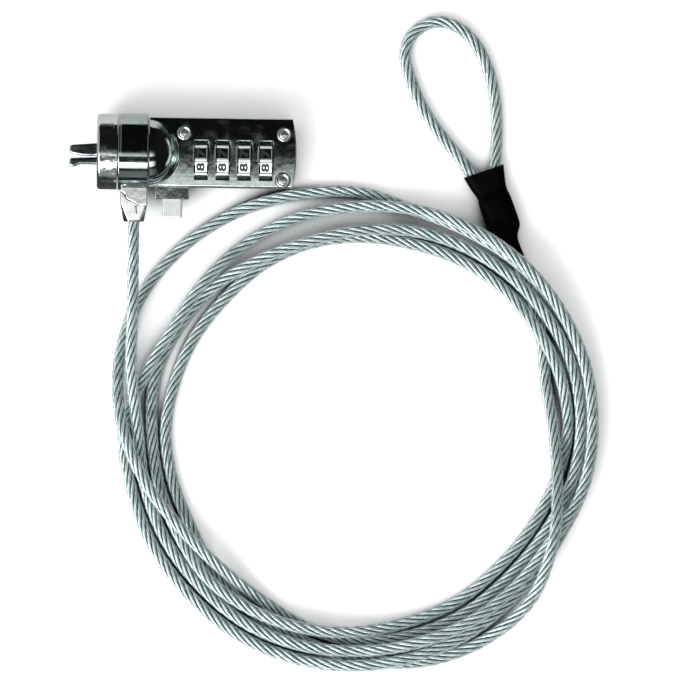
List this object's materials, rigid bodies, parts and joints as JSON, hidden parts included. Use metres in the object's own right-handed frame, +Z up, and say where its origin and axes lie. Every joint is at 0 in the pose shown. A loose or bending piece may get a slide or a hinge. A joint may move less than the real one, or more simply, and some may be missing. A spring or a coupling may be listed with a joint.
{
  "type": "laptop cable lock",
  "caption": "Combination lock for a laptop's security slot: chromed barrel with slot jaws, number dials and a release button, on a swivelling steel cable coiled flat, with an eye loop.",
  "frame": {"origin": "centre of the lock's bounding box in X and Y, on the plane it lies on; the free cable and what is on it are left out of that box", "axes": "+X from the slot jaws along the barrel to the housing's far end, -Y the way the cable leaves the swivel ring, +Z up, out of the face with the dial windows"},
  "size_m": [0.1522, 0.1878, 0.022],
  "materials": {
    "ring_chrome": "polished chrome",
    "case_chrome": "polished chrome on a die casting",
    "cap_chrome": "polished chrome",
    "dial_chrome": "polished chrome with sunk numbers",
    "jaw_steel": "plated",
    "rivet_steel": "satin",
    "plain_steel": "plain",
    "spring_steel": "drawn wire",
    "button_satin": "satin",
    "ferrule": "pressed",
    "brass": "plain",
    "steel_cable": "galvanised strands in a clear jacket",
    "black_sleeve": "matte shrink tube"
  },
  "bodies": {
    "cable": {"swivel_ring": "ring_chrome", "cable_lead": "steel_cable", "cable_coil": "steel_cable", "eye_loop": "steel_cable", "crimp_ferrule": "ferrule", "heat_shrink_sleeve": "black_sleeve"},
    "housing": {"front_case": "case_chrome", "back_case": "case_chrome", "barrel_tube": "plain_steel", "nose_cap": "cap_chrome", "rivet_top_left": "rivet_steel", "rivet_top_right": "rivet_steel", "rivet_bottom_right": "rivet_steel", "detent_spring": "brass", "button_pin": "plain_steel", "upper_jaw_pin": "plain_steel", "lower_jaw_pin": "plain_steel"},
    "dial_1_body": {"dial_1": "dial_chrome", "code_sleeve_1": "brass"},
    "dial_2_body": {"dial_2": "dial_chrome", "code_sleeve_2": "brass"},
    "dial_3_body": {"dial_3": "dial_chrome", "code_sleeve_3": "brass"},
    "dial_4_body": {"dial_4": "dial_chrome", "code_sleeve_4": "brass"},
    "button_body": {"button": "button_satin", "button_spring": "spring_steel"},
    "spindle_body": {"spindle": "plain_steel", "spindle_spring": "spring_steel"},
    "upper_jaw_body": {"upper_jaw": "jaw_steel"},
    "lower_jaw_body": {"lower_jaw": "jaw_steel"}
  },
  "joints": [
    {"name": "lock_swivel", "type": "hinge", "parent": "cable", "child": "housing", "pos_m": [-0.0141, 0.00445, 0.011], "axis": [1, 0, 0], "continuous": true},
    {"name": "dial_1_turn", "type": "hinge", "parent": "housing", "child": "dial_1_body", "pos_m": [0.0052, 0.00239, 0.011], "axis": [1, 0, 0], "continuous": true},
    {"name": "dial_2_turn", "type": "hinge", "parent": "housing", "child": "dial_2_body", "pos_m": [0.01137, 0.00239, 0.011], "axis": [1, 0, 0], "continuous": true},
    {"name": "dial_3_turn", "type": "hinge", "parent": "housing", "child": "dial_3_body", "pos_m": [0.01754, 0.00239, 0.011], "axis": [1, 0, 0], "continuous": true},
    {"name": "dial_4_turn", "type": "hinge", "parent": "housing", "child": "dial_4_body", "pos_m": [0.02371, 0.00239, 0.011], "axis": [1, 0, 0], "continuous": true},
    {"name": "button_press", "type": "slide", "parent": "housing", "child": "button_body", "axis": [0, 1, 0], "range_m": [0, 0.003], "stiffness_N_per_m": 300, "deforming": ["button_spring"]},
    {"name": "spindle_slide", "type": "slide", "parent": "housing", "child": "spindle_body", "axis": [-1, 0, 0], "range_m": [0, 0.00205], "deforming": ["spindle_spring"]},
    {"name": "upper_jaw_pinch", "type": "hinge", "parent": "housing", "child": "upper_jaw_body", "pos_m": [-0.02, 0.00555, 0.011], "axis": [0, 0, 1], "range_deg": [0, 1.15]},
    {"name": "lower_jaw_pinch", "type": "hinge", "parent": "housing", "child": "lower_jaw_body", "pos_m": [-0.02, 0.00215, 0.011], "axis": [0, 0, -1], "range_deg": [0, 1.15]}
  ],
  "couplings": [
    {"joint": "spindle_slide", "follows": "button_press", "ratio": 0.6667},
    {"joint": "upper_jaw_pinch", "follows": "button_press", "rad_per_m": 6.4},
    {"joint": "lower_jaw_pinch", "follows": "button_press", "rad_per_m": 6.4}
  ]
}
